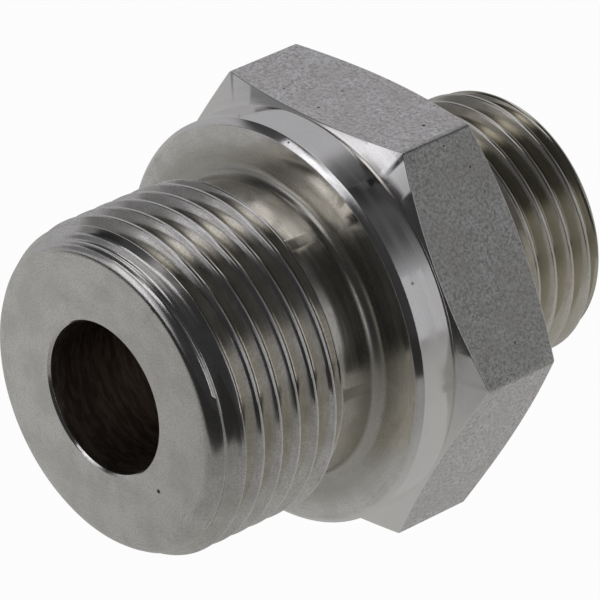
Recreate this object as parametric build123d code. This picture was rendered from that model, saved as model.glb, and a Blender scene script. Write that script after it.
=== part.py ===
from build123d import *
from math import radians, tan
import os

os.makedirs("parts", exist_ok=True)

# Male stud coupling, turned and threaded from one bar. All sizes are in mm.
# Heights run along the axis from the collar's sealing face, negative toward the stud end.
# The body is built about +Z and laid along Y at the end.

# Stud
stud_diameter = 22.0
stud_length = 14.0
bore_diameter = 10.0
bore_edge_break = 0.15

# Collar and hexagon
collar_diameter = 26.9
collar_width = 2.9
collar_edge_break = 0.4
across_flats = 27.0
hexagon_end = 10.5
hexagon_chamfer_angle = 20.0
hexagon_face_share = 0.96

# Tube end
tube_thread_diameter = 18.0
tube_end_length = 10.5
tube_diameter = 12.0
tube_clearance = 0.05
tube_stop_depth = 7.0
cone_half_angle = 12.0
cone_mouth_extra = 2.0

# Threads, both right hand and of one form
pitch = 1.5
flank_angle = 30.0
crest_width = 0.17 * pitch
thread_clearance = 0.05
relief_margin = 0.02 * pitch
stud_relief_length = 2.6 * pitch
tube_relief_length = 2.2 * pitch
relief_corner_bevel = 0.3 * pitch

# Ends of the two threads: a broken lip, then a slim taper up to the crests
end_taper_angle = 60.0
stud_end_drop = 1.05
stud_end_bevel = 0.65
tube_end_drop = 0.6
tube_end_bevel = 0.4

flank_slope = tan(radians(flank_angle))
thread_depth = (pitch - crest_width) / 2 / flank_slope
relief_depth = thread_depth + relief_margin
stud_crest_radius = stud_diameter / 2 - thread_clearance
tube_crest_radius = tube_thread_diameter / 2 - thread_clearance
stud_relief_radius = stud_crest_radius - relief_depth
tube_relief_radius = tube_crest_radius - relief_depth
collar_radius = collar_diameter / 2
hexagon_face_radius = hexagon_face_share * across_flats / 2
tube_end = hexagon_end + tube_end_length
shoulder_run = relief_depth * flank_slope


def turned(points, bevels):
    """Solid of revolution of a closed outline of (radius, height) points.

    bevels lists the corners to break, as (corner number, length) pairs.
    """
    with BuildPart() as solid:
        with BuildSketch(Plane.XZ) as section:
            with BuildLine():
                Polyline(points, close=True)
            make_face()
            for number, length in bevels:
                radial, height = points[number]
                corner = section.vertices().sort_by_distance((radial, height, 0))[0]
                chamfer(corner, length)
        revolve(axis=Axis.Z)
    return solid.part


def threaded(blank, crest_radius, first, last, start_turn):
    """The turned blank with a right-hand thread, cut by a sharp helical groove.

    The middle of the groove runs from height first to height last. It is cut from a rod of the
    crest radius that is longer than both, and the rod is then trimmed to the blank.
    """
    spill = 0.08 * pitch
    half_mouth = (pitch - crest_width) / 2 + spill * flank_slope
    mouth = crest_radius + spill
    root = crest_radius - thread_depth
    path = Helix(pitch, last - first, root)
    with BuildPart() as groove:
        with BuildSketch(Plane.XZ):
            with BuildLine():
                Polyline((root, 0), (mouth, -half_mouth), (mouth, half_mouth), close=True)
            make_face()
        sweep(path=path, is_frenet=True)
    low = min(first, blank.bounding_box().min.Z) - 2 * pitch
    high = max(last, blank.bounding_box().max.Z) + 2 * pitch
    base = (Align.CENTER, Align.CENTER, Align.MIN)
    rod = Pos(0, 0, low) * Cylinder(crest_radius, high - low, align=base)
    placed_groove = Pos(0, 0, first) * Rot(0, 0, 360 * start_turn) * groove.part
    return blank & (rod - placed_groove)


def hexagon():
    """Hexagon bar section with both ends coned off at the chamfer angle."""
    corner_radius = across_flats / 3**0.5
    reach = corner_radius - hexagon_face_radius + 1
    drop = reach * tan(radians(hexagon_chamfer_angle))
    bar = extrude(
        Pos(0, 0, collar_width) * RegularPolygon(across_flats / 2, 6, major_radius=False),
        hexagon_end - collar_width,
    )
    cones = turned(
        [
            (0, collar_width),
            (hexagon_face_radius, collar_width),
            (hexagon_face_radius + reach, collar_width + drop),
            (hexagon_face_radius + reach, hexagon_end - drop),
            (hexagon_face_radius, hexagon_end),
            (0, hexagon_end),
        ],
        [],
    )
    return bar & cones


end_slope = tan(radians(end_taper_angle))
stud_neck = -stud_relief_length / 2
tube_neck = hexagon_end + tube_relief_length / 2

stud_blank = turned(
    [
        (0, -stud_length),
        (stud_crest_radius - stud_end_drop, -stud_length),
        (stud_crest_radius, -stud_length + stud_end_drop * end_slope),
        (stud_crest_radius, -stud_relief_length),
        (stud_relief_radius, -stud_relief_length + shoulder_run),
        (stud_relief_radius, stud_neck),
        (0, stud_neck),
    ],
    [(1, stud_end_bevel)],
)
tube_blank = turned(
    [
        (0, tube_neck),
        (tube_relief_radius, tube_neck),
        (tube_relief_radius, hexagon_end + tube_relief_length - shoulder_run),
        (tube_crest_radius, hexagon_end + tube_relief_length),
        (tube_crest_radius, tube_end - tube_end_drop * end_slope),
        (tube_crest_radius - tube_end_drop, tube_end),
        (0, tube_end),
    ],
    [(5, tube_end_bevel)],
)
middle = turned(
    [
        (0, stud_neck),
        (stud_relief_radius, stud_neck),
        (stud_relief_radius, 0),
        (collar_radius - collar_edge_break, 0),
        (collar_radius, collar_edge_break),
        (collar_radius, collar_width),
        (tube_crest_radius + pitch, collar_width),
        (tube_crest_radius + pitch, hexagon_end),
        (tube_relief_radius, hexagon_end),
        (tube_relief_radius, tube_neck),
        (0, tube_neck),
    ],
    [(2, relief_corner_bevel), (8, relief_corner_bevel)],
)

socket_radius = tube_diameter / 2 + tube_clearance
mouth_radius = socket_radius + cone_mouth_extra / 2
cone_depth = (mouth_radius - socket_radius) / tan(radians(cone_half_angle))
bore_radius = bore_diameter / 2
hollow = turned(
    [
        (0, -stud_length),
        (bore_radius + bore_edge_break, -stud_length),
        (bore_radius, -stud_length + bore_edge_break),
        (bore_radius, tube_end - tube_stop_depth),
        (socket_radius, tube_end - tube_stop_depth),
        (socket_radius, tube_end - cone_depth),
        (mouth_radius, tube_end),
        (0, tube_end),
    ],
    [],
)

stud = threaded(stud_blank, stud_crest_radius, -stud_length - 0.32 * pitch, -1.65 * pitch, 0)
tube_side = threaded(
    tube_blank,
    tube_crest_radius,
    hexagon_end + 0.97 * pitch,
    tube_end + 0.8 * pitch,
    0.5,
)

body = stud + middle + hexagon() + tube_side - hollow
body = Rot(-90, 0, 0) * body

export_step(body, "parts/coupling_body.step")
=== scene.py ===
import math

import bmesh
import bpy
import numpy as np
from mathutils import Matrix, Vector


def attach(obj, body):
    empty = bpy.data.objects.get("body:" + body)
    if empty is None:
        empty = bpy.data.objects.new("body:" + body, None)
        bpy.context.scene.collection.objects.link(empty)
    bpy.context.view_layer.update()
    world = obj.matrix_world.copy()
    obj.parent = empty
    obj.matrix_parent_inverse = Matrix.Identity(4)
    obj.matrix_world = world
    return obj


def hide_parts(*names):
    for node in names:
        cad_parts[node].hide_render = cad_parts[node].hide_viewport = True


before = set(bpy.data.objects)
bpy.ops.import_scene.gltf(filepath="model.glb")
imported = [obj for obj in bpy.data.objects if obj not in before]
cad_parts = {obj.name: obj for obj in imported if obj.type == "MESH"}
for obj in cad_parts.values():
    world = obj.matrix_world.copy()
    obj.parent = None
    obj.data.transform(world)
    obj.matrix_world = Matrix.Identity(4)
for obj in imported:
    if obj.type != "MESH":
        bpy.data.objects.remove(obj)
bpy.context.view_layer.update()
scene = bpy.context.scene

# Sizes, in mm
# Sizes across the axis are radii. Heights run along it from the collar's sealing face, as in the solid. A
# phase is the height of a thread's crest at angle 0.
METRE = 1000.0
BORE = 5.0
BORE_BREAK = 0.16
BORE_ROWS_MEET = -11.0

PITCH = 1.5
FLANK = math.radians(30)
CREST_HALF_WIDTH = 0.11
THREAD_DEPTH = 0.93
CREST_ROUND = 0.05
ROOT_ROUND = 0.22
SHOULDER = 0.6
SHOULDER_FOOT = 0.68
NECK_FILLET = 0.8
END_SLOPE = math.tan(math.radians(60))

STUD_END = -14.0
STUD_CREST = 10.95
STUD_PHASE = -12.6
STUD_CORNER = 9.9
STUD_ROUND = 1.3
STUD_RELIEF = 9.842
STUD_THREAD_END = -3.9

COLLAR = 13.45
COLLAR_WIDTH = 2.9
COLLAR_BREAK = 0.4

HEXAGON = 13.5
HEXAGON_FACE = 12.96
HEXAGON_END = 10.5
HEXAGON_SLOPE = math.tan(math.radians(20))
HEXAGON_CORNER_BLEND = 0.12
HEXAGON_EDGE = 0.05
CONE_FOOT = 0.3

TUBE_END = 21.0
TUBE_CREST = 8.95
TUBE_PHASE = 16.08
TUBE_CORNER = 8.35
TUBE_ROUND = 0.8
TUBE_RELIEF = 7.842
TUBE_THREAD_START = 13.8
SOCKET = 6.05
SOCKET_STOP = 14.0
SOCKET_CONE_START = 16.295
SOCKET_MOUTH = 7.05

# Numbers of the materials on the coupling
TURNED, DRAWN, DRILLED_SHADED = 0, 1, 2

# Places of the rows within half a pitch, closer together at the crest's edge and near the root
ROW_PLACES = np.array([0, 0.045, 0.075, 0.1, 0.15, 0.23, 0.31, 0.37, 0.42, 0.46])


# Shape
def columns():
    """Angles around the axis, every 1.5 degrees and closer at the six corners, with both 0 and 360."""
    corners = np.arange(30, 360, 60)
    near = (corners[:, None] + np.array([-0.9, -0.45, -0.22, 0.22, 0.45, 0.9])[None, :]).ravel()
    degrees = np.unique(np.concatenate([np.arange(0, 360.1, 1.5), near]))
    return np.radians(degrees)


ANGLE = columns()


def smooth_maximum(a, b, width):
    """The larger of a and b, plus (width - |a - b|) squared over 4 widths where they are within a width."""
    blend = np.maximum(width - np.abs(a - b), 0)
    return np.maximum(a, b) + blend * blend / (4 * width)


def thread_radius(height, crest, phase):
    """Radius of a thread at a height along the axis and each angle.

    The depth below the crest is 0 near the crest line, then the distance past it over tan 30 down the flank,
    and levels off at the root. Both bends are rounded by a smooth maximum.
    """
    along = (height - phase - PITCH * ANGLE / (2 * np.pi)) / PITCH
    distance = np.abs(along - np.round(along)) * PITCH
    flank = (distance - CREST_HALF_WIDTH) / math.tan(FLANK)
    depth = smooth_maximum(flank, 0.0, CREST_ROUND)
    depth = -smooth_maximum(-depth, -THREAD_DEPTH, ROOT_ROUND)
    return crest - depth


def hexagon_radius():
    """Distance from the axis to the hexagon's side at each angle.

    It is half the width across flats over the cosine of the angle from the middle of the side. The corners
    are rounded by a smooth minimum of the two sides that meet there.
    """
    turn = (ANGLE + np.pi / 6) % (np.pi / 3) - np.pi / 6
    other = np.pi / 3 - np.abs(turn)
    near = HEXAGON / np.cos(turn)
    far = HEXAGON / np.cos(other)
    return -smooth_maximum(-near, -far, HEXAGON_CORNER_BLEND)


def corner_arc(before, corner, after, radius, steps=5):
    """Points that round a profile's corner with an arc tangent to both of its sides.

    The arc's middle is on the line that halves the corner, at the radius over the sine of half its angle. A
    point at a share of the arc is its start and end, weighted by the sines of the angles left and passed.
    """
    before, corner, after = (np.array(p, float) for p in (before, corner, after))
    u = (before - corner) / np.linalg.norm(before - corner)
    v = (after - corner) / np.linalg.norm(after - corner)
    half = math.acos(np.clip(u @ v, -1, 1)) / 2
    tangent = radius / math.tan(half)
    middle = corner + (u + v) / np.linalg.norm(u + v) * radius / math.sin(half)
    start, end = corner + u * tangent - middle, corner + v * tangent - middle
    sweep = math.pi - 2 * half
    share = np.linspace(0, 1, steps)[:, None]
    return middle + (start * np.sin((1 - share) * sweep) + end * np.sin(share * sweep)) / math.sin(sweep)


def profile(points):
    """A profile's points (radius, height, rounding), with an arc at each corner that has a rounding."""
    out = []
    for k, (radius, height, rounding) in enumerate(points):
        if rounding and 0 < k < len(points) - 1:
            out.extend(corner_arc(points[k - 1][:2], (radius, height), points[k + 1][:2], rounding))
        else:
            out.append(np.array([radius, height]))
    return out


# A row is its radius and height over all angles, and the number of the material up to the next row.
def rings(points, finish=TURNED):
    """Rows that are plain circles, one at each point (radius, height)."""
    return [(np.full_like(ANGLE, r), np.full_like(ANGLE, y), finish) for r, y in points]


def lip_rows(points, crest, phase):
    """Circles of a rounded end, with the thread's groove running out through them: the radius is the smaller
    of the circle's and the thread's."""
    return [(np.minimum(r, thread_radius(y, crest, phase)), np.full_like(ANGLE, y), TURNED)
            for r, y in points]


def thread_rows(low, high, crest, phase, outline):
    """Rows that follow a thread's helix between two heights.

    A row's height is its place within the pitch plus a pitch per turn of angle, held between low and high.
    Its radius is the thread's, or the outline's where that is smaller.
    """
    places = np.concatenate([ROW_PLACES, [0.5], 1 - ROW_PLACES[:0:-1]])
    first = math.floor((low - phase) / PITCH) - 1
    last = math.ceil((high - phase) / PITCH) + 1
    rows = []
    for turn in range(first, last):
        for place in places:
            height = phase + (turn + place) * PITCH + PITCH * ANGLE / (2 * np.pi)
            height = np.clip(height, low, high)
            rows.append((np.minimum(thread_radius(height, crest, phase), outline(height)), height, TURNED))
    return rows


def shoulder_rows(heights, thread_end, crest, phase, relief):
    """Rows of the slope from a thread's end down to its relief groove.

    The radius is the crest's, less the distance past the thread's end over tan 30. The thread's groove cuts
    into it, and the relief groove holds it up.
    """
    rows = []
    for height in heights:
        slope = crest - abs(height - thread_end) / math.tan(FLANK)
        radius = np.minimum(thread_radius(height, crest, phase), slope)
        rows.append((np.maximum(radius, relief), np.full_like(ANGLE, height), TURNED))
    return rows


def stud_rows():
    """The bore's broken edge, the stud's face, rounded end and thread, and the slope down to its groove."""
    taper_top = STUD_END + (STUD_CREST - STUD_CORNER) * END_SLOPE
    end = profile([
        (BORE, BORE_ROWS_MEET, 0),
        (BORE, STUD_END + BORE_BREAK, 0.05),
        (BORE + BORE_BREAK, STUD_END, 0.05),
        (STUD_CORNER, STUD_END, STUD_ROUND),
        (STUD_CREST, taper_top, 0),
    ])[:-1]

    def outline(height):
        """The taper's straight side, then the crest radius."""
        return np.minimum(STUD_CORNER + (height - STUD_END) / END_SLOPE, STUD_CREST)

    thread_start = end[-1][1]
    slope = np.linspace(STUD_THREAD_END, STUD_THREAD_END + SHOULDER, 9)[1:]
    return [
        *rings(end[:1], DRILLED_SHADED),
        *rings(end[1:-4]),
        *lip_rows(end[-4:-1], STUD_CREST, STUD_PHASE),
        *thread_rows(thread_start, STUD_THREAD_END, STUD_CREST, STUD_PHASE, outline),
        *shoulder_rows(slope, STUD_THREAD_END, STUD_CREST, STUD_PHASE, STUD_RELIEF),
    ]


def collar_rows():
    """The stud's relief groove, the sealing collar, and the foot of the hexagon's front cone."""
    return rings(profile([
        (STUD_RELIEF, STUD_THREAD_END + SHOULDER_FOOT, 0),
        (STUD_RELIEF, 0, NECK_FILLET),
        (COLLAR - COLLAR_BREAK, 0, 0.08),
        (COLLAR, COLLAR_BREAK, 0.08),
        (COLLAR, COLLAR_WIDTH, 0.06),
        (HEXAGON_FACE, COLLAR_WIDTH, 0.04),
        (HEXAGON_FACE + CONE_FOOT, COLLAR_WIDTH + CONE_FOOT * HEXAGON_SLOPE, 0),
    ]))


def hexagon_rows():
    """The hexagon from cone to cone.

    Its edge at each end is where a side meets the cone: as far from the end as the side is past the end's
    circle, times tan 20. One more row rounds that edge.
    """
    side = hexagon_radius()
    edge = HEXAGON_EDGE
    front = COLLAR_WIDTH + (side - HEXAGON_FACE) * HEXAGON_SLOPE
    back = HEXAGON_END - (side - HEXAGON_FACE) * HEXAGON_SLOPE
    flats = [(side, front + edge + share * (back - front - 2 * edge), DRAWN) for share in (0.25, 0.5, 0.75)]
    return [
        (side - edge, front - edge * HEXAGON_SLOPE, TURNED),
        (side - 0.25 * edge, front + 0.2 * edge, TURNED),
        (side, front + edge, DRAWN),
        *flats,
        (side, back - edge, TURNED),
        (side - 0.25 * edge, back - 0.2 * edge, TURNED),
        (side - edge, back + edge * HEXAGON_SLOPE, TURNED),
    ]


def tube_rows():
    """The foot of the hexagon's back cone, the tube end's groove, thread and rounded end, and its inside."""
    neck = profile([
        (HEXAGON_FACE + CONE_FOOT, HEXAGON_END - CONE_FOOT * HEXAGON_SLOPE, 0),
        (HEXAGON_FACE, HEXAGON_END, 0.1),
        (TUBE_RELIEF, HEXAGON_END, NECK_FILLET),
        (TUBE_RELIEF, TUBE_THREAD_START - SHOULDER_FOOT, 0),
    ])
    taper_top = TUBE_END - (TUBE_CREST - TUBE_CORNER) * END_SLOPE
    end = profile([
        (TUBE_CREST, taper_top, 0),
        (TUBE_CORNER, TUBE_END, TUBE_ROUND),
        (SOCKET_MOUTH, TUBE_END, 0.08),
        (SOCKET, SOCKET_CONE_START, 0.3),
        (SOCKET, SOCKET_STOP, 0.1),
        (BORE, SOCKET_STOP, 0.1),
        (BORE, BORE_ROWS_MEET, 0),
    ])[1:]

    def outline(height):
        """The crest radius, then the taper's straight side."""
        return np.minimum(TUBE_CORNER + (TUBE_END - height) / END_SLOPE, TUBE_CREST)

    thread_end = end[0][1]
    slope = np.linspace(TUBE_THREAD_START - SHOULDER, TUBE_THREAD_START, 9)[:-1]
    return [
        *rings(neck),
        *shoulder_rows(slope, TUBE_THREAD_START, TUBE_CREST, TUBE_PHASE, TUBE_RELIEF),
        *thread_rows(TUBE_THREAD_START, thread_end, TUBE_CREST, TUBE_PHASE, outline),
        *lip_rows(end[1:4], TUBE_CREST, TUBE_PHASE),
        *rings(end[4:-2]),
        *rings(end[-2:], DRILLED_SHADED),
    ]


def closed_surface(name, rows):
    """A mesh whose rows are closed around the axis and end to end.

    The point at an angle and radius is at x = radius times the angle's sine, z = radius times its cosine.
    """
    radius = np.array([r for r, y, finish in rows]) / METRE
    height = np.array([y for r, y, finish in rows]) / METRE
    points = np.stack([radius * np.sin(ANGLE), height, radius * np.cos(ANGLE)], axis=-1)
    count, around = radius.shape
    j, i = np.meshgrid(np.arange(count), np.arange(around - 1), indexing="ij")
    k = (j + 1) % count
    faces = np.stack([j * around + i, j * around + i + 1, k * around + i + 1, k * around + i], axis=-1)
    finish = np.repeat([finish for r, y, finish in rows], around - 1)
    mesh = bpy.data.meshes.new(name)
    mesh.from_pydata(points.reshape(-1, 3), [], faces.reshape(-1, 4))
    mesh.polygons.foreach_set("material_index", finish.astype(np.int32))

    # The seam's two columns and the points that several helical rows share are merged. Distances are in
    # metres.
    merged = bmesh.new()
    merged.from_mesh(mesh)
    bmesh.ops.remove_doubles(merged, verts=merged.verts, dist=2e-6)
    bmesh.ops.dissolve_degenerate(merged, edges=merged.edges, dist=1e-6)
    merged.to_mesh(mesh)
    merged.free()

    # Smooth all over, with normals that large faces decide, so the flats look flat up to their rounded edges
    mesh.polygons.foreach_set("use_smooth", np.ones(len(mesh.polygons), bool))
    piece = bpy.data.objects.new(name, mesh)
    scene.collection.objects.link(piece)
    weighted = piece.modifiers.new("even_shading", "WEIGHTED_NORMAL")
    weighted.mode = "FACE_AREA"
    weighted.keep_sharp = True
    return piece


# Materials
# Pattern sizes, in mm. A noise has a feature about every size, so its scale is 1 over it. A pixel of the
# photograph covers 0.06 mm.
LATHE_BAND = 0.625
TURNED_BLOTCH = 20 / 9
SKIN_BLOTCH = 2.0
PIT_SPACING = 10 / 11
DRILL_STREAK = 0.4
# A lathe tool's feed marks are usually 0.05 to 0.1 apart, the steel's grain is about 0.02, and a drawn skin's
# is about 0.05. All three are too fine to show, and are drawn as coarse as they need to be.
LATHE_LINE = 1 / 7
TURNED_GRAIN = 1 / 9
SKIN_GRAIN = 0.2

# Depths of the patterns' relief, in mm
LATHE_LINE_DEPTH = 0.004
SKIN_DEPTH = 0.02
DRILL_STREAK_DEPTH = 0.01

# The clearest marks in the photograph: place and radius, in mm
CHIP_BY_BORE = (5.02, -14.0, -4.4), 0.14
DOT_ON_COLLAR = (1.48, 0.22, 13.19), 0.07
NICK_ON_COLLAR = (11.51, 1.15, 6.96), 0.10
FRONT_PIT = (-0.27, 4.41, 13.5), 0.10
BACK_PIT = (5.95, 7.43, 13.5), 0.12

# Settings that many nodes share
SMOOTH = {"interpolation_type": "SMOOTHSTEP"}
COLOUR = {"data_type": "RGBA"}
TIMES = {"operation": "MULTIPLY"}


def linear(hex_colour):
    """An sRGB hex colour as linear RGBA."""
    parts = [int(hex_colour[k:k + 2], 16) / 255 for k in (1, 3, 5)]
    return (*(c / 12.92 if c <= 0.04045 else ((c + 0.055) / 1.055) ** 2.4 for c in parts), 1.0)


def add(tree, kind, *inputs, **settings):
    """Adds a node of a kind, written without its ShaderNode prefix.

    Inputs are in the order of the node's sockets in use. Settings are its own properties, or else inputs by
    name, with _ for a space. An input is another node, whose first output in use is linked, or one output, a
    value or a hex colour.
    """
    node = tree.nodes.new("ShaderNode" + kind)
    named = {}
    for key, value in settings.items():
        if hasattr(node, key):
            setattr(node, key, value)
        else:
            named[key.replace("_", " ")] = value
    in_use = [socket for socket in node.inputs if socket.enabled]
    pairs = [*zip(in_use, inputs), *((node.inputs[key], value) for key, value in named.items())]
    for socket, value in pairs:
        if isinstance(value, bpy.types.Node):
            value = next(output for output in value.outputs if output.enabled)
        if isinstance(value, bpy.types.NodeSocket):
            tree.links.new(value, socket)
        else:
            socket.default_value = linear(value) if isinstance(value, str) else value
    return node


def material(name):
    """An empty node material and its tree."""
    made = bpy.data.materials.new(name)
    made.use_nodes = True
    made.node_tree.nodes.clear()
    return made, made.node_tree


def in_mm(tree):
    """Places on the part, in mm."""
    place = add(tree, "TexCoord").outputs["Object"]
    return add(tree, "VectorMath", place, METRE, operation="SCALE")


def on_lathe(tree, place):
    """The radius and height of a place, and the two with its angle in radians as a place of their own. A
    pattern there is drawn out round the axis, about ten times at the stud's radius."""
    split = add(tree, "SeparateXYZ", place)
    across = add(tree, "VectorMath", place, (1, 0, 1), **TIMES)
    radius = add(tree, "VectorMath", across, operation="LENGTH")
    angle = add(tree, "Math", split.outputs["X"], split.outputs["Z"], operation="ARCTAN2")
    height = split.outputs["Y"]
    return radius, height, add(tree, "CombineXYZ", radius, height, angle)


def zone(tree, *limits):
    """1 inside a zone of the surface and 0 outside, as the product of smooth ramps. Each limit is what it is
    measured by, the values between which its ramp runs, and its two levels if they aren't 0 and 1."""
    inside = add(tree, "MapRange", *limits[0], **SMOOTH)
    for limit in limits[1:]:
        inside = add(tree, "Math", inside, add(tree, "MapRange", *limit, **SMOOTH), **TIMES)
    return inside


def spot(tree, place, middle, radius):
    """1 within a small mark and 0 outside. Noise a third of the radius in size makes its edge uneven."""
    away = add(tree, "VectorMath", place, middle, operation="DISTANCE")
    uneven = add(tree, "Math", add(tree, "TexNoise", place, 3.0 / radius), radius, **TIMES)
    away = add(tree, "Math", away, uneven, operation="ADD")
    return add(tree, "MapRange", away, radius, 2 * radius, 1.0, 0.0, **SMOOTH)


def turned_steel():
    """Stainless steel as it left the lathe: the stud, collar, cones and tube end. It is bright and
    mirror-like, with fine lines round the axis, blotches and drawn-out bands of a duller finish, and a
    yellowish film in the thread grooves and beside the collar. Painted shade darkens the neck there."""
    made, tree = material("turned_stainless_steel")
    place = in_mm(tree)
    radius, height, lathe = on_lathe(tree, place)
    lines = add(tree, "TexNoise", lathe, 1 / LATHE_LINE, 3.0, 0.65)
    bands = add(tree, "TexNoise", lathe, 1 / LATHE_BAND)
    cloud = add(tree, "TexNoise", place, 1 / TURNED_BLOTCH, 4.0, 0.6)
    grain = add(tree, "TexNoise", place, 1 / TURNED_GRAIN, 2.0, 0.7)

    # Where the film, the neck's painted shade and the marks are
    stud_film = zone(tree, (radius, STUD_CREST - 0.1, STUD_CREST - 0.75), (height, 0.3, -0.3),
                     (height, STUD_END + 1.0, STUD_END + 1.8, 0.0, 0.4))
    tube_film = zone(tree, (radius, TUBE_CREST + 0.45, TUBE_CREST - 0.75),
                     (height, HEXAGON_END - 0.1, HEXAGON_END + 0.5),
                     (radius, SOCKET_MOUTH + 0.15, SOCKET_MOUTH + 0.55))
    film = add(tree, "Math", stud_film, tube_film, operation="MAXIMUM")
    # The neck beside the collar is duller, which is its finish, and darker, which is painted shade in the
    # corner between the stud and the collar
    neck = zone(tree, (radius, COLLAR - 0.75, COLLAR - 2.45), (height, -2.4, -0.3, 0.0, 0.65),
                (height, 0.4, 0.1))
    marks = add(tree, "Math", spot(tree, place, *CHIP_BY_BORE), spot(tree, place, *DOT_ON_COLLAR),
                operation="MAXIMUM")

    # Colours over one another: clean steel, its grain, the lines, the brighter rim, the film in the grooves,
    # a greyer tone on the tube end, painted shade on the neck beside the collar, and the marks
    blotches = add(tree, "MapRange", cloud, 0.35, 0.65, **SMOOTH)
    shade = add(tree, "Mix", blotches, "#E6E3DD", "#F7F5F1", **COLOUR)
    for cover, colour in (
        (add(tree, "MapRange", grain, 0.40, 0.68, 0.0, 0.7, **SMOOTH), "#CBC8C2"),
        (add(tree, "MapRange", lines, 0.44, 0.30, 0.0, 0.3, **SMOOTH), "#9C978F"),
        (add(tree, "MapRange", radius, COLLAR - 0.55, COLLAR - 0.15, 0.0, 0.8, **SMOOTH), "#FDFBF8"),
        (add(tree, "Math", film, 0.6, **TIMES), "#DCD3AE"),
        (add(tree, "Math", tube_film, 0.5, **TIMES), "#B7B4AC"),
        (neck, "#AFACA3"),
        (marks, "#3A332B"),
        (add(tree, "Math", spot(tree, place, *NICK_ON_COLLAR), 0.7, **TIMES), "#5A534C"),
    ):
        shade = add(tree, "Mix", cover, shade, colour, **COLOUR)

    # Roughness is from 0.10 to 0.21 with the bands, and more at the neck and on the grain
    dull = add(tree, "MapRange", bands, 0.35, 0.68, 0.10, 0.21, **SMOOTH)
    for more in (add(tree, "Math", neck, 0.16, **TIMES),
                 add(tree, "MapRange", grain, 0.5, 0.8, 0.0, 0.08, **SMOOTH)):
        dull = add(tree, "Math", dull, more, operation="ADD")
    line_relief = add(tree, "Math", lines, 0.8, **TIMES)
    grain_relief = add(tree, "Math", grain, 0.35, **TIMES)
    relief = add(tree, "Math", line_relief, grain_relief, operation="ADD")
    bump = add(tree, "Bump", Strength=0.35, Distance=LATHE_LINE_DEPTH / METRE, Height=relief)
    add(tree, "OutputMaterial",
        add(tree, "BsdfPrincipled", Base_Color=shade, Metallic=1.0, Roughness=dull, Normal=bump))
    return made


def drawn_steel():
    """The flats keep the skin of the drawn stainless bar: matt and slightly mottled, with small dark pits.
    They look flat grey beside the mirror-like turned parts."""
    made, tree = material("drawn_stainless_steel")
    place = in_mm(tree)
    skin = add(tree, "TexNoise", place, 1 / SKIN_GRAIN, 5.0, 0.85)
    cloud = add(tree, "TexNoise", place, 1 / SKIN_BLOTCH, 3.0)

    # The flat that faces 60 degrees round from the top one, the stamped one, is darkened with painted
    # shade, as the side that less light reaches
    outward = (math.sqrt(0.75), 0, 0.5)
    along = add(tree, "VectorMath", place, outward, operation="DOT_PRODUCT")
    painted_shade_flat = add(tree, "MapRange", along, HEXAGON - 0.4, HEXAGON - 0.1, 0.0, 0.5, **SMOOTH)

    # Some cells have a pit at their middle, of a size that their random colour gives
    cells = add(tree, "TexVoronoi", place, 1 / PIT_SPACING)
    chance = add(tree, "SeparateColor", cells.outputs["Color"]).outputs["Red"]
    size = add(tree, "MapRange", chance, 0.55, 1.0, 0.0, 0.09, **SMOOTH)
    pits = add(tree, "MapRange", add(tree, "Math", cells, size, operation="SUBTRACT"), 0.02, -0.02, **SMOOTH)
    for pit in (FRONT_PIT, BACK_PIT):
        pits = add(tree, "Math", pits, spot(tree, place, *pit), operation="MAXIMUM")

    mottling = add(tree, "MapRange", skin, 0.34, 0.60, **SMOOTH)
    blotches = add(tree, "MapRange", cloud, 0.35, 0.65, 0.0, 0.35, **SMOOTH)
    shade = add(tree, "Mix", mottling, "#A9A29D", "#FFFEFC", **COLOUR)
    shade = add(tree, "Mix", blotches, shade, "#D8D2CE", **COLOUR)
    # Painted shade multiplied onto that flat
    shade = add(tree, "Mix", painted_shade_flat, shade, "#AAAFA7", blend_type="MULTIPLY", **COLOUR)
    shade = add(tree, "Mix", pits, shade, "#4A423C", **COLOUR)
    relief = add(tree, "Math", skin, pits, operation="SUBTRACT")
    bump = add(tree, "Bump", Strength=0.5, Distance=SKIN_DEPTH / METRE, Height=relief)
    add(tree, "OutputMaterial",
        add(tree, "BsdfPrincipled", Base_Color=shade, Metallic=1.0, Roughness=0.42, Normal=bump))
    return made


def drilled_steel_with_painted_shade():
    """The bore's drilled wall: duller than the outside, with faint streaks round the axis. Its colour, darker
    and browner than the outside, is painted shade, so the hole reads as deep and dark."""
    made, tree = material("drilled_stainless_steel_painted_shade")
    lathe = on_lathe(tree, in_mm(tree))[-1]
    streaks = add(tree, "TexNoise", lathe, 1 / DRILL_STREAK, 4.0, 0.7)
    light = add(tree, "MapRange", streaks, 0.40, 0.62, **SMOOTH)
    # Painted shade: the wall's darker, browner colour
    shade = add(tree, "Mix", light, "#9A8F88", "#CDC3BB", **COLOUR)
    bump = add(tree, "Bump", Strength=0.4, Distance=DRILL_STREAK_DEPTH / METRE, Height=streaks)
    add(tree, "OutputMaterial",
        add(tree, "BsdfPrincipled", Base_Color=shade, Metallic=1.0, Roughness=0.38, Normal=bump))
    return made


coupling = closed_surface("coupling", stud_rows() + collar_rows() + hexagon_rows() + tube_rows())
coupling.data.materials.append(turned_steel())
coupling.data.materials.append(drawn_steel())
coupling.data.materials.append(drilled_steel_with_painted_shade())
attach(coupling, "root")
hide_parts("coupling_body")


# Floor and surroundings
# The metal shows its surroundings, so the studio follows what the photograph's metal mirrors: a pale table
# and wall to the left and behind, a dark room where the camera stands, and a few soft boxes.
# Azimuths count from -Y, where the stud points, toward +X. The camera stands at 47 degrees.
# Levels are against white, which is 1.
PAPER_SHINE = 0.40
PAPER_PAST_END = 0.03
ROOM_DARK = 0.035
COOL_LIGHT = "#F9F9FF"

# In metres
FLOOR_RADIUS = 0.25
FLOOR_GAP = 0.00002
PAPER_DIM_TO = 0.030
PAPER_END = 0.041, 0.044
LAMP_DISTANCE = 0.5


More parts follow.
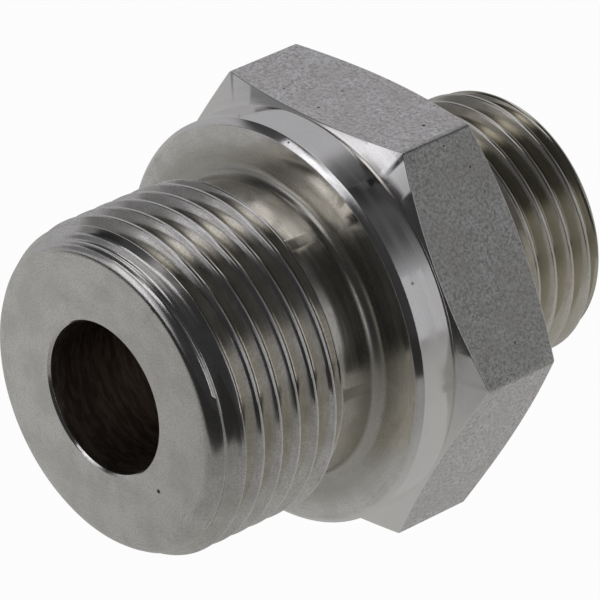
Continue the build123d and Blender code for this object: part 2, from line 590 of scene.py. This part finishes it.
def way(azimuth, elevation):
    """The direction at an azimuth and an elevation in degrees: x is the azimuth's sine and y is minus its
    cosine, both times the elevation's cosine, and z is the elevation's sine."""
    a, e = math.radians(azimuth), math.radians(elevation)
    return Vector((math.sin(a) * math.cos(e), -math.cos(a) * math.cos(e), math.sin(e)))


# Parts of the room that are darker than the rest: the direction of the middle, the cosines of the angles from
# it where the change starts and ends, and the light inside as a share of the rest. A wall goes from floor to
# ceiling.
DIM_WALLS = (
    (way(110, 0), 0.70, 0.85, 0.75),
    (way(180, 0), 0.88, 0.99, 0.3),
)
DIM_PATCHES = (
    (way(120, 62), 0.76, 0.90, 0.18),
    (way(-66, 50), 0.895, 0.94, 0.12),
    (way(-90, 38), 0.935, 0.98, 0.5),
    (way(-52, 13), 0.956, 0.99, 0.42),
)


def toward(tree, vector, axis, start, end, low, high):
    """Runs smoothly from low to high as the vector's part along the axis goes from start to end."""
    part = add(tree, "VectorMath", vector, axis, operation="DOT_PRODUCT")
    return add(tree, "MapRange", part, start, end, low, high, **SMOOTH)


def direct_view(tree, path):
    """1 where the camera sees a thing straight or through glass, and 0 in reflections and for light."""
    return add(tree, "Math", path.outputs["Is Camera Ray"], path.outputs["Is Transmission Ray"],
               operation="ADD", use_clamp=True)


def floor_material():
    """White paper. The camera sees it white. The metal sees it at the level of the photograph's reflections,
    dimmer toward the camera, and nearly black past its end, 41 to 44 mm in front of the collar."""
    made, tree = material("white_paper")
    path = add(tree, "LightPath")
    direct = direct_view(tree, path)
    place = add(tree, "TexCoord").outputs["Object"]
    # Painted shadow: toward the camera the paper is dimmed where the part's shadow falls on it, as the metal
    # mirrors it
    dim = toward(tree, place, way(45, 0), 0.0, PAPER_DIM_TO, 1.0, 0.6)
    end = toward(tree, place, way(25, 0), *PAPER_END, PAPER_SHINE, PAPER_PAST_END)
    level = add(tree, "Mix", direct, add(tree, "Math", dim, end, **TIMES), 1.0, data_type="FLOAT")
    white = add(tree, "Emission", "#FFFFFF", level)
    paper = add(tree, "BsdfDiffuse", "#F2F2F2")
    # The 3% of plain paper that is left keeps a faint shadow. Diffuse rays see plain paper only.
    seen = add(tree, "Math", direct, path.outputs["Is Glossy Ray"], operation="ADD", use_clamp=True)
    share = add(tree, "Math", seen, 0.97, **TIMES)
    add(tree, "OutputMaterial", add(tree, "MixShader", share, paper, white))
    return made


def round_floor(sides=96):
    """A flat disc just under the part: one ring of points at equal angles."""
    turn = np.linspace(0, 2 * np.pi, sides, endpoint=False)
    height = -HEXAGON / METRE - FLOOR_GAP
    x, y = FLOOR_RADIUS * np.cos(turn), FLOOR_RADIUS * np.sin(turn)
    rim = np.stack([x, y, np.full_like(turn, height)], axis=-1)
    mesh = bpy.data.meshes.new("floor")
    mesh.from_pydata(rim, [], [list(range(sides))])
    disc = bpy.data.objects.new("floor", mesh)
    scene.collection.objects.link(disc)
    mesh.materials.append(floor_material())


def world_light():
    """White to the camera. To everything else it is the room: pale behind and to the left, dark around the
    camera."""
    world = bpy.data.worlds.new("studio")
    scene.world = world
    world.use_nodes = True
    tree = world.node_tree
    tree.nodes.clear()
    direct = direct_view(tree, add(tree, "LightPath"))
    view = add(tree, "TexCoord").outputs["Generated"]
    level_view = add(tree, "VectorMath", view, (1, 1, 0), **TIMES)
    level_view = add(tree, "VectorMath", level_view, operation="NORMALIZE")
    light = toward(tree, level_view, way(33, 0), 0.68, 0.74, PAPER_SHINE, ROOM_DARK)
    for vector, areas in ((level_view, DIM_WALLS), (view, DIM_PATCHES)):
        for axis, start, end, share in areas:
            light = add(tree, "Math", light, toward(tree, vector, axis, start, end, 1.0, share), **TIMES)
    room = add(tree, "Background", COOL_LIGHT, light)
    white = add(tree, "Background", "#FFFFFF", 1.0)
    add(tree, "OutputWorld", add(tree, "MixShader", direct, room, white))


def soft_box(name, azimuth, elevation, wide, high, radiance):
    """A rectangular lamp that faces the part from there. wide and high are the angles that it covers, in
    degrees. At radiance 1 it is as bright as white paper in full light."""
    data = bpy.data.lights.new(name, "AREA")
    data.shape = "RECTANGLE"
    data.size, data.size_y = (2 * LAMP_DISTANCE * math.tan(math.radians(v / 2)) for v in (wide, high))
    data.energy = radiance * math.pi * data.size * data.size_y
    data.color = linear(COOL_LIGHT)[:3]
    lamp = bpy.data.objects.new(name, data)
    scene.collection.objects.link(lamp)
    toward_lamp = way(azimuth, elevation)
    lamp.location = toward_lamp * LAMP_DISTANCE
    lamp.rotation_mode = "QUATERNION"
    lamp.rotation_quaternion = toward_lamp.to_track_quat("Z", "Y")
    lamp.visible_camera = False


round_floor()
world_light()

# Name, azimuth, elevation, width and height as angles, and radiance
soft_box("key_low", -28, 5, 17, 28, 0.48)
soft_box("key_high", -22, 44, 36, 10, 0.80)
soft_box("top_light", 2, 57, 18, 18, 0.85)
soft_box("high_back", -138, 64, 24, 22, 0.6)
soft_box("side_strip", 84, 12, 5, 52, 0.8)
soft_box("back_strip", 128, 6, 10, 36, 0.14)
soft_box("far_strip", 150, -4, 12, 40, 0.5)

# Camera
# Solved from the photograph's outline, with lengths in mm. The aim is a point on the axis, moved right and up
# in the picture. The focal length is in pixels of the photograph, which is 600 wide.
AZIMUTH, ELEVATION = 46.714, 28.621
AIM_HEIGHT, AIM_RIGHT, AIM_UP = 6, -2.489, -0.506
DISTANCE = 378.1
FOCAL_PIXELS, PHOTO_PIXELS = 5984.9, 600
SENSOR_WIDTH = 36

back = way(AZIMUTH, ELEVATION)
right = way(AZIMUTH + 90, 0)
up = back.cross(right)
aim = Vector((0, AIM_HEIGHT, 0)) + right * AIM_RIGHT + up * AIM_UP
lens = bpy.data.cameras.new("camera")
lens.sensor_width = SENSOR_WIDTH
lens.lens = FOCAL_PIXELS / PHOTO_PIXELS * SENSOR_WIDTH
lens.clip_start, lens.clip_end = 0.01, 10
camera = bpy.data.objects.new("camera", lens)
scene.collection.objects.link(camera)
camera.location = (aim + back * DISTANCE) / METRE
camera.rotation_mode = "QUATERNION"
camera.rotation_quaternion = back.to_track_quat("Z", "Y")
scene.camera = camera
scene.view_settings.view_transform = "Standard"
